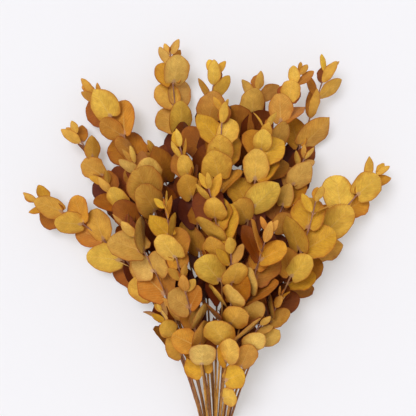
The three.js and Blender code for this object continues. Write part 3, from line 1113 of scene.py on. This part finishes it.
def leaf_rows(shape):
    """Rows across a unit leaf, from its stalk to its tip: how far along, and half how wide."""
    stalk, widest, base, tip, _, peak, _ = shape
    rows = [(part * stalk, half) for part, half in STALK_ROWS]
    for j in range(STEPS + 1):
        u = (1 - math.cos(math.pi * j / STEPS)) / 2
        fullness = base + (tip - base) * u
        half = max(0.0, math.sin(math.pi * u**widest)) ** fullness
        end = 1.0 if j == STEPS else u * (1 - peak)
        rows.append((stalk + (1 - stalk) * end, max(half, LEAST_HALF * (1 - u))))
    return rows


def leaf_point(shape, row, c, side):
    """A point of a unit leaf: its row, its place c from edge to edge, and above or underneath."""
    stalk, _, _, _, sweep, _, sway = shape
    size = sizes()
    x, half = row
    u = max(0.0, (x - stalk) / (1 - stalk))
    body = min(1.0, u * BLADE_START)
    y = c * half * (1 + LOPSIDED * math.copysign(sway, c)) + sway * math.sin(math.pi * u)
    back = sweep * c * c * u / (u + SWEEP_START) * math.exp(-SWEEP_FADE * u)
    middle = size.blade_thickness - size.edge_thickness
    blade = size.edge_thickness + middle * (1 - c * c)
    thick = size.stalk_thickness * (1 - body) + blade * body
    rib = size.midrib_height * max(0.0, 1 - abs(c) / RIB_HALF) * body * (1 - RIB_FADE * u)
    return x - back, y, thick / 2 - RIB_ABOVE * rib if side > 0 else -thick / 2 - rib


def leaf_faces(index, last):
    """The faces of a closed leaf, from the numbers of its points by side, row and column."""
    width = len(COLUMNS) - 1
    faces = []
    for j in range(last):
        for i in range(width):
            for side in (1, -1):
                square = [index[side, j, i], index[side, j + 1, i],
                          index[side, j + 1, i + 1], index[side, j, i + 1]]
                faces.append(square[::-side])
        for i in (0, width):
            strip = [index[1, j, i], index[1, j + 1, i], index[-1, j + 1, i], index[-1, j, i]]
            faces.append(strip if i else strip[::-1])
    for i in range(width):
        faces.append([index[1, 0, i], index[1, 0, i + 1], index[-1, 0, i + 1], index[-1, 0, i]])
    return [list(dict.fromkeys(face)) for face in faces]


def leaf_shape(name, shape):
    """A thin closed leaf, one unit long and wide on each side of its midrib, true in thickness."""
    rows = leaf_rows(shape)
    last = len(rows) - 1
    points, flats, rims, index = [], [], [], {}
    for side in (1, -1):
        for j, row in enumerate(rows):
            for i, c in enumerate(COLUMNS):
                if j == last and i:
                    index[side, j, i] = index[side, j, 0]
                    continue
                x, y, z = leaf_point(shape, row, 0.0 if j == last else c, side)
                index[side, j, i] = len(points)
                points.append((x, y, z))
                flats.append((x, y, side))
                rims.append(1.0 if j == last else abs(c) if j >= len(STALK_ROWS) else 0.0)
    mesh = bpy.data.meshes.new(name)
    mesh.from_pydata(points, [], leaf_faces(index, last))
    attach(mesh, (("flat", "FLOAT_VECTOR", flats), ("rim", "FLOAT", rims)))
    mesh.shade_smooth()
    return bpy.data.objects.new(name, mesh)


FOLD_ROUND = 0.003  # metres from the midrib within which the fold is rounded
WAVES_ALONG = 2.2
WAVES_ACROSS = 1.1
WAVE_GAIN = 4.0
WAVE_WIDTH = 0.02  # metres off the midrib at which the waves reach their height
OUTLINE_WAVES = (1.3, 1.6, 1.0)  # as multiples of those waves
LYING_HALF = 0.00025  # half the thickness of a leaf that is pressed flat on the table
LYING_HEIGHT = 0.0005
LYING_BLEND = 0.002  # metres over which a leaf bends to lie flat


def leaf_tree():
    """Sets a leaf on each point, bends it to its own curve and rests it on the table."""
    tree, given = geometry_tree(
        "Leaves on stem",
        (
            ("Leaf shapes", "NodeSocketCollection", None),
            ("Wave height", "NodeSocketFloat", 0.0),
            ("Unevenness", "NodeSocketFloat", 0.0),
            ("Material", "NodeSocketMaterial", None),
        ),
    )
    shapes = add(tree, "GeometryNodeCollectionInfo", given.outputs["Leaf shapes"], True, True)
    turn = add(tree, "FunctionNodeEulerToRotation", named(tree, "turn"))
    leaves = add(
        tree, "GeometryNodeInstanceOnPoints", given.outputs["Geometry"], True, out(shapes), True,
        named(tree, "shape", "INT"), out(turn), named(tree, "size"),
    )
    real = add(tree, "GeometryNodeRealizeInstances", out(leaves))
    flat = split(tree, named(tree, "flat"))
    size = split(tree, named(tree, "size"))
    fold, droop, wave = split(tree, named(tree, "bend"))
    face = named(tree, "face")

    # The fold along the midrib and the droop towards the tip.
    across = product(tree, flat["Y"], size["Y"])
    soft = sums(tree, "SQRT", sums(tree, "MULTIPLY_ADD", across, across, FOLD_ROUND**2))
    folded = product(tree, soft, fold)
    drooped = product(tree, flat["X"], flat["X"], size["X"], droop)

    # Waves that grow towards the edge, and an uneven outline.
    spot = combined(
        tree, product(tree, flat["X"], WAVES_ALONG), product(tree, flat["Y"], WAVES_ACROSS), wave
    )
    ripple = sums(tree, "SUBTRACT", noise(tree, spot, 1.0, 1.0), 0.5)
    off_rib = product(tree, sums(tree, "ABSOLUTE", flat["Y"]), size["Y"])
    growth = sums(tree, "DIVIDE", off_rib, WAVE_WIDTH)
    waved = product(tree, ripple, WAVE_GAIN, growth, given.outputs["Wave height"])
    outline_spot = vectors(tree, "MULTIPLY", spot, OUTLINE_WAVES)
    outline = sums(tree, "SUBTRACT", noise(tree, outline_spot, 1.0, 1.0), 0.5)
    uneven = product(tree, across, outline, given.outputs["Unevenness"])
    lifted = scaled(tree, face, sums(tree, "ADD", sums(tree, "SUBTRACT", folded, drooped), waved))
    widened = scaled(tree, named(tree, "side"), uneven)
    shift = vectors(tree, "ADD", lifted, widened)
    bent = add(tree, "GeometryNodeSetPosition", out(real), True, None, shift)

    # No leaf sinks into the table: it bends to lie flat there.
    here = split(tree, out(add(tree, "GeometryNodeInputPosition")))
    upper = product(tree, sums(tree, "SIGN", split(tree, face)["Z"]), flat["Z"])
    floor = sums(tree, "MULTIPLY_ADD", upper, LYING_HALF, LYING_HEIGHT)
    rested = sums(tree, "SMOOTH_MAX", here["Z"], floor, LYING_BLEND)
    there = combined(tree, here["X"], here["Y"], rested)
    lying = add(tree, "GeometryNodeSetPosition", out(bent), True, there)
    return close_tree(tree, out(lying), given.outputs["Material"])


TONE_SPREAD = 0.4  # how far the tones of one stem's leaves lie apart
# A leaf's lightness: a random tone, less the shade painted where other leaves lie over it.
LIGHT = 0.65
LIGHT_SWING = 0.28
# DARKENING is the painted shade of a leaf that others hide wholly.
DARKENING = 0.95  # how much darker a leaf is that others hide wholly
DARKENING_POWER = 1.3
WAVE_SEEDS = 50.0  # how far apart in the pattern of waves two leaves may lie

# The two tiny leaves of the bud at a stem's tip.
BUD_SINK = 1.2  # how far below the tip they sit
BUD_LEAN = 0.22
BUD_LENGTH = 7.0
BUD_MORE = 3.0
BUD_HALF = 1.1
BUD_FOLD = 0.5
BUD_DROOP = -0.05
BUD_TONE = 0.06
BUD_LIGHT = 0.5

LeafPoint = namedtuple(
    "LeafPoint", "root midrib side face length half fold droop shape wave tone light"
)


def leaf_guide(stem):
    """The points of a stem's leaves: turn, size, bend, shape, and tint with its painted shade."""
    draw = random_stream(LEAF_SEED + stem.owner)
    stem_tone = draw()
    rows = []
    for leaf in stem.leaves:
        first, shapes = (len(FULL_SHAPES), YOUNG_SHAPES) if leaf["young"] else (0, FULL_SHAPES)
        rows.append(LeafPoint(
            stem.curve(leaf["share"]),
            *rolled(leaf["place"], leaf),
            leaf["length"], leaf["width"] / 2, leaf["fold"], leaf["droop"],
            shape=first + int(draw() * len(shapes)),
            wave=draw(),
            tone=(stem_tone + TONE_SPREAD * draw()) % 1.0,
            # lightness: a random tone, less the painted shade of the leaves over it
            light=LIGHT + LIGHT_SWING * draw() - DARKENING * leaf["covered"] ** DARKENING_POWER,
        ))
    tip = axes_at(stem.curve(1.0), stem.heading_at(1.0))
    turn = math.radians(stem.twist - QUARTER)
    for half_turn in (0, math.pi):
        rows.append(LeafPoint(
            tip[0] - tip[1] * BUD_SINK,
            *leaf_axes(tip, turn + half_turn, BUD_LEAN),
            BUD_LENGTH + BUD_MORE * draw(), BUD_HALF, BUD_FOLD, BUD_DROOP,
            shape=len(FULL_SHAPES),
            wave=draw(),
            tone=BUD_TONE * draw(),
            light=BUD_LIGHT,
        ))
    turns = [Matrix(np.array((r.midrib, r.side, r.face)).T).to_euler("XYZ") for r in rows]
    points = np.array([r.root for r in rows]) * MM
    return guide_mesh(f"{stem.name} leaf points", points, [], (
        ("turn", "FLOAT_VECTOR", [tuple(t) for t in turns]),
        ("side", "FLOAT_VECTOR", [r.side for r in rows]),
        ("face", "FLOAT_VECTOR", [r.face for r in rows]),
        ("size", "FLOAT_VECTOR", [(r.length * MM, r.half * MM, 1.0) for r in rows]),
        ("bend", "FLOAT_VECTOR", [(r.fold, r.droop, WAVE_SEEDS * r.wave) for r in rows]),
        ("shape", "INT", [r.shape for r in rows]),
        # tone, and lightness with its painted shade
        ("tint", "FLOAT_VECTOR", [(r.tone, r.light, 0.0) for r in rows]),
    ))


class EucalyptusLeaves(bpy.types.Operator):
    """Makes the leaves of every stem"""

    bl_idname = "eucalyptus.leaves"
    bl_label = "Leaves"

    def execute(self, context):
        shapes = bpy.data.collections.new("Leaf shapes")
        for i, shape in enumerate((*FULL_SHAPES, *YOUNG_SHAPES)):
            shapes.objects.link(leaf_shape(f"Leaf shape {i}", shape))
        tree = leaf_tree()
        values = {
            "Leaf shapes": shapes,
            "Wave height": sizes().wave_height,
            "Unevenness": sizes().unevenness,
            "Material": leaf_material(),
        }
        for stem in STEMS:
            piece = made_by(tree, f"{stem.name}_leaves", leaf_guide(stem), values)
            stand_for(piece, f"spray_{stem.name}")
        for shape in list(shapes.objects):
            bpy.data.meshes.remove(shape.data)
        bpy.data.collections.remove(shapes)
        bpy.data.node_groups.remove(tree)
        return {"FINISHED"}


# Stems

STEM_SIDES = 10
FANNED_STEPS = 28
STRAIGHT_STEPS = 8
ROUND = 1.1  # a round stem is this much thicker than the CAD's square one, for the same bulk
FOOT_GROWTH = 0.1  # how much thicker a stem is at its cut end than at the band
CUT_SLOPE = 1.1
BARK_LUMPS = 130.0

# The swelling at a node: millimetres along the stem, and the share of its full height.
SWELLING = ((-3.0, 0.0), (-1.1, 1.0), (0.9, 0.84), (2.6, 0.0))
SCAR_GAP = 31.0  # between the scars that fallen leaves left on a stem
SCAR_SHARE = 0.5  # how high a scar stands, as a share of a node
LOWEST_SCAR = 0.03  # share of the fanned stretch


def stem_tree():
    """Sweeps a round section along a stem's line and makes it a little uneven."""
    tree, given = geometry_tree(
        "Stem along line",
        (
            ("Sides", "NodeSocketInt", STEM_SIDES),
            ("Relief", "NodeSocketFloat", 0.0),
            ("Material", "NodeSocketMaterial", None),
        ),
    )
    line = add(tree, "GeometryNodeMeshToCurve", given.outputs["Geometry"])
    ring = add(tree, "GeometryNodeCurvePrimitiveCircle", given.outputs["Sides"], 1.0)
    tube = add(
        tree, "GeometryNodeCurveToMesh", out(line), out(ring), named(tree, "girth", "FLOAT"), True
    )
    here = out(add(tree, "GeometryNodeInputPosition"))
    spoke = vectors(tree, "SUBTRACT", here, named(tree, "centre"))
    outward = vectors(tree, "NORMALIZE", spoke)
    lumps = sums(tree, "SUBTRACT", noise(tree, here, BARK_LUMPS), 0.5)
    push = scaled(tree, outward, product(tree, lumps, given.outputs["Relief"]))
    rough = add(tree, "GeometryNodeSetPosition", out(tube), True, None, push)
    rise = product(tree, split(tree, spoke)["Z"], named(tree, "slant", "FLOAT"))
    slant = combined(tree, 0.0, rise, 0.0)
    cut = add(tree, "GeometryNodeSetPosition", out(rough), True, None, slant)
    return close_tree(tree, out(cut), given.outputs["Material"])


def stem_stations(stem):
    """Points down a stem with its girth there: a fine even row, and a swelling at each node."""
    swelling = sizes().node_swelling
    reach = np.linalg.norm(stem.bend[3] - stem.bend[0])
    scars = np.arange(stem.nodes[-1] - SCAR_GAP / reach, LOWEST_SCAR, -SCAR_GAP / reach)
    fanned = {round(i / FANNED_STEPS, 5): 1.0 for i in range(FANNED_STEPS + 1)}
    for node, most in [(n, 1.0) for n in stem.nodes] + [(n, SCAR_SHARE) for n in scars]:
        for offset, part in SWELLING:
            t = round(node + offset / reach, 5)
            if 0 < t < 1:
                fanned[t] = 1 + swelling * most * part
    stations = [
        (stem.curve(t), ROUND * stem.half(t) * fanned[t], t) for t in sorted(fanned, reverse=True)
    ]
    for i in range(STRAIGHT_STEPS + 1):
        down = i / STRAIGHT_STEPS
        spot = stem.below + (stem.foot - stem.below) * down
        stations.append((spot, ROUND * WAIST_HALF * (1 + FOOT_GROWTH * down), -down))
    return stations


def stem_guide(stem):
    """The line of a stem from its tip to its cut end, with what the tree needs at each point."""
    stations = stem_stations(stem)
    points = np.array([s[0] for s in stations]) * MM
    last = len(points) - 1
    draw = random_stream(BARK_SEED + stem.owner)
    slope = CUT_SLOPE * swing(draw)
    tone_here = draw()
    return guide_mesh(f"{stem.name} line", points, [(i, i + 1) for i in range(last)], (
        ("centre", "FLOAT_VECTOR", points),
        ("girth", "FLOAT", [s[1] * MM for s in stations]),
        ("along", "FLOAT", [max(0.0, s[2]) for s in stations]),
        ("slant", "FLOAT", [slope if i == last else 0.0 for i in range(last + 1)]),
        ("tone", "FLOAT", [tone_here] * (last + 1)),
    ))


def mark_cut_face(mesh):
    """Gives the cut face at a stem's foot its own mark, so that its pith shows pale."""
    foot = min(mesh.polygons, key=lambda face: face.center.y if len(face.vertices) > 4 else 9.0)
    marks = mesh.attributes.new("cut", "FLOAT", "CORNER")
    marks.data.foreach_set("value", [
        1.0 if foot.index == face.index else 0.0
        for face in mesh.polygons for _ in face.loop_indices
    ])


class EucalyptusStems(bpy.types.Operator):
    """Makes the stems from their cut ends to their tips"""

    bl_idname = "eucalyptus.stems"
    bl_label = "Stems"

    def execute(self, context):
        tree = stem_tree()
        values = {
            "Sides": STEM_SIDES,
            "Relief": sizes().bark_relief * 2,
            "Material": stem_material(),
        }
        for stem in STEMS:
            piece = made_by(tree, f"{stem.name}_stem", stem_guide(stem), values)
            mark_cut_face(piece.data)
            stand_for(piece, f"spray_{stem.name}")
        bpy.data.node_groups.remove(tree)
        return {"FINISHED"}


# Rubber band

TURNS = 3
CROSSING = 62.0  # degrees of the ring over which the strip crosses back over its other turns
RING_STEPS = 72  # points in one turn
OUTER_TURN = 4.1  # from the middle of the band to the middle of its outer turns
CROSS_LIFT = 1.2  # how far the strip rises to cross over
CROSS_RAMP = 5  # points over which it rises and sinks
STRIP_EASE = 0.1  # how much thinner the strip is than the CAD's band

# Where the strip starts on the ring, so that it crosses over at the top.
STRIP_START = 0.25 + (0.5 - CROSSING / 720) / 2 - 0.055


def ring_point(turn, depth):
    """A point of the ring round the stems and its outward direction there, at a depth of rubber."""
    x = INNER_X - BAND_CORNER + BAND_THICKNESS
    z = INNER_Z - BAND_CORNER + BAND_THICKNESS
    radius = BAND_CORNER - BAND_THICKNESS + depth
    corner = math.pi / 2 * radius
    sides = (2 * z, corner, 2 * x, corner, 2 * z, corner, 2 * x, corner)
    left = (turn % 1.0) * sum(sides)
    for i, side in enumerate(sides):
        if left <= side:
            break
        left -= side
    quarter = i // 2
    angle = quarter * math.pi / 2
    if i % 2:
        angle += left / radius
    signs = ((1, -1, 1, 1), (1, 1, -1, 1), (-1, 1, -1, -1), (-1, -1, 1, -1))[quarter]
    outward = np.array((math.cos(angle), 0.0, math.sin(angle)))
    start = np.array((signs[0] * x, 0.0, signs[1] * z))
    end = np.array((signs[2] * x, 0.0, signs[3] * z))
    middle = end if i % 2 else start + (end - start) * left / side
    return middle + outward * radius + np.array((0.0, 0.0, BAND_MIDDLE)), outward


def band_guide():
    """The closed line of the strip: three turns side by side, and one crossing over them."""
    count = TURNS * RING_STEPS
    cross = CROSSING / 360 * RING_STEPS
    points, normals = [], []
    for i in range(count):
        left = count - i
        if left > cross:
            y = -OUTER_TURN + 2 * OUTER_TURN * i / (count - cross)
        else:
            y = OUTER_TURN * math.cos(math.pi * (1 - left / cross))
        rising = min(1.0, (cross + CROSS_RAMP - left) / CROSS_RAMP)
        sinking = 1 - i / CROSS_RAMP
        lift = CROSS_LIFT * max(0.0, rising, sinking)
        spot, outward = ring_point(STRIP_START + i / RING_STEPS, BAND_THICKNESS / 2)
        points.append((spot + outward * lift + np.array((0.0, y, 0.0))) * MM)
        normals.append(outward)
    edges = [(i, (i + 1) % count) for i in range(count)]
    return guide_mesh("band line", points, edges, (("outward", "FLOAT_VECTOR", normals),))


def band_tree():
    """Sweeps the flat strip of rubber along its line, always facing outwards."""
    tree, given = geometry_tree(
        "Strip along line",
        (
            ("Width", "NodeSocketFloat", 0.0028),
            ("Thickness", "NodeSocketFloat", BAND_THICKNESS * MM),
            ("Corner", "NodeSocketFloat", 0.0003),
            ("Material", "NodeSocketMaterial", None),
        ),
    )
    line = add(tree, "GeometryNodeMeshToCurve", given.outputs["Geometry"])
    facing = add(tree, "GeometryNodeSetCurveNormal", out(line), True, mode="FREE")
    feed_by_name(tree, facing, {"Normal": named(tree, "outward")})
    section = add(
        tree, "GeometryNodeCurvePrimitiveQuadrilateral",
        given.outputs["Thickness"], given.outputs["Width"], mode="RECTANGLE",
    )
    rounded = add(tree, "GeometryNodeFilletCurve", out(section), mode="POLY")
    feed_by_name(tree, rounded, {"Radius": given.outputs["Corner"], "Count": 3})
    strip = add(tree, "GeometryNodeCurveToMesh", out(facing), out(rounded))
    return close_tree(tree, out(strip), given.outputs["Material"])


class EucalyptusBand(bpy.types.Operator):
    """Makes the rubber band that holds the stems"""

    bl_idname = "eucalyptus.band"
    bl_label = "Rubber Band"

    def execute(self, context):
        tree = band_tree()
        values = {
            "Width": sizes().strip_width,
            "Thickness": (BAND_THICKNESS - STRIP_EASE) * MM,
            "Material": rubber_material(),
        }
        piece = made_by(tree, "rubber_band", band_guide(), values)
        stand_for(piece, "band")
        bpy.data.node_groups.remove(tree)
        return {"FINISHED"}


# Stage

TABLE_DROP = -0.0003  # the table's surface, just under the bunch
SWEEP = ((3.2, 0.0), (3.9, 0.06), (4.5, 0.25), (5.0, 0.6), (5.4, 1.15), (5.65, 1.9), (5.75, 2.9))
SWEEP_SIDES = 64
CAMERA_SPOT = (-0.009, 0.317, 1.3)
CAMERA_ANGLE = 23.5


def daylight(name, spot, softness, strength, tint):
    """Even light from the direction of a spot, through a wide window."""
    light = bpy.data.lights.new(name, "SUN")
    light.angle = math.radians(softness)
    light.energy = strength
    light.color = tint
    lamp = bpy.data.objects.new(name, light)
    lamp.location = spot
    lamp.rotation_euler = (-Vector(spot)).to_track_quat("-Z", "Y").to_euler()
    bpy.context.scene.collection.objects.link(lamp)


def sweep_mesh():
    """A round pale surface that curves up into a backdrop far from the bunch, on all sides."""
    points = [(0.0, 0.0, TABLE_DROP)]
    for radius, height in SWEEP:
        for i in range(SWEEP_SIDES):
            turn = 2 * math.pi * i / SWEEP_SIDES
            points.append((radius * math.cos(turn), radius * math.sin(turn), height + TABLE_DROP))
    after = [(i + 1) % SWEEP_SIDES for i in range(SWEEP_SIDES)]
    faces = [(0, 1 + i, 1 + after[i]) for i in range(SWEEP_SIDES)]
    for ring in range(len(SWEEP) - 1):
        inner, outer = 1 + ring * SWEEP_SIDES, 1 + (ring + 1) * SWEEP_SIDES
        for i, j in enumerate(after):
            faces.append((inner + i, outer + i, outer + j, inner + j))
    mesh = bpy.data.meshes.new("table")
    mesh.from_pydata(points, [], faces)
    mesh.shade_smooth()
    return mesh


class EucalyptusStage(bpy.types.Operator):
    """Makes the pale table, the soft light and the camera straight above"""

    bl_idname = "eucalyptus.stage"
    bl_label = "Table, Light and Camera"

    def execute(self, context):
        mesh = sweep_mesh()
        table = bpy.data.objects.new("table", mesh)
        context.scene.collection.objects.link(table)
        material, tree, surface = new_material("White table")
        feed_by_name(tree, surface, {
            "Base Color": (0.6, 0.605, 0.665, 1.0),
            # The table glows a little of its own: painted light that lightens and warms the shadows
            # on it.
            "Emission Color": (1.0, 0.985, 0.9, 1.0),
            "Emission Strength": 0.275,
            "Roughness": 0.8,
            "Specular IOR Level": 0.2,
        })
        mesh.materials.append(material)
        world = bpy.data.worlds.new("Studio")
        world.use_nodes = True
        sky = world.node_tree.nodes["Background"]
        feed_by_name(world.node_tree, sky, {"Color": (1.0, 0.965, 0.92, 1.0), "Strength": 0.58})
        context.scene.world = world
        daylight(
            "Window", spot=(-0.75, 0.75, 2.4), softness=30.0, strength=1.66, tint=(0.985, 0.99, 1.0)
        )
        context.scene.view_settings.view_transform = "Standard"
        lens = bpy.data.cameras.new("Camera")
        lens.angle = math.radians(CAMERA_ANGLE)
        camera = bpy.data.objects.new("Camera", lens)
        camera.location = CAMERA_SPOT
        context.scene.collection.objects.link(camera)
        context.scene.camera = camera
        return {"FINISHED"}


class EucalyptusPanel(bpy.types.Panel):
    """The steps that make the bunch, with its sizes and colours"""

    bl_idname = "VIEW3D_PT_eucalyptus"
    bl_label = "Dried Eucalyptus"
    bl_space_type = "VIEW_3D"
    bl_region_type = "UI"
    bl_category = "Eucalyptus"

    def draw(self, context):
        for operator in OPERATORS:
            self.layout.operator(operator.bl_idname)
        for title, group in (
            ("Sizes", context.scene.eucalyptus_sizes),
            ("Colours", context.scene.eucalyptus_colours),
        ):
            box = self.layout.box()
            box.label(text=title)
            for name in group.__annotations__:
                box.prop(group, name)


OPERATORS = (EucalyptusStage, EucalyptusStems, EucalyptusLeaves, EucalyptusBand)
CLASSES = (EucalyptusSizes, EucalyptusColours, *OPERATORS, EucalyptusPanel)


def register():
    """Makes the operators, the panel and the settings known."""
    for item in CLASSES:
        bpy.utils.register_class(item)
    bpy.types.Scene.eucalyptus_sizes = bpy.props.PointerProperty(type=EucalyptusSizes)
    bpy.types.Scene.eucalyptus_colours = bpy.props.PointerProperty(type=EucalyptusColours)


def unregister():
    """Takes them away again."""
    del bpy.types.Scene.eucalyptus_colours
    del bpy.types.Scene.eucalyptus_sizes
    for item in reversed(CLASSES):
        bpy.utils.unregister_class(item)


def main():
    """Makes the whole bunch on its stage."""
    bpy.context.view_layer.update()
    register()
    bpy.ops.eucalyptus.stage()
    bpy.ops.eucalyptus.stems()
    bpy.ops.eucalyptus.leaves()
    bpy.ops.eucalyptus.band()


if __name__ == "__main__":
    main()
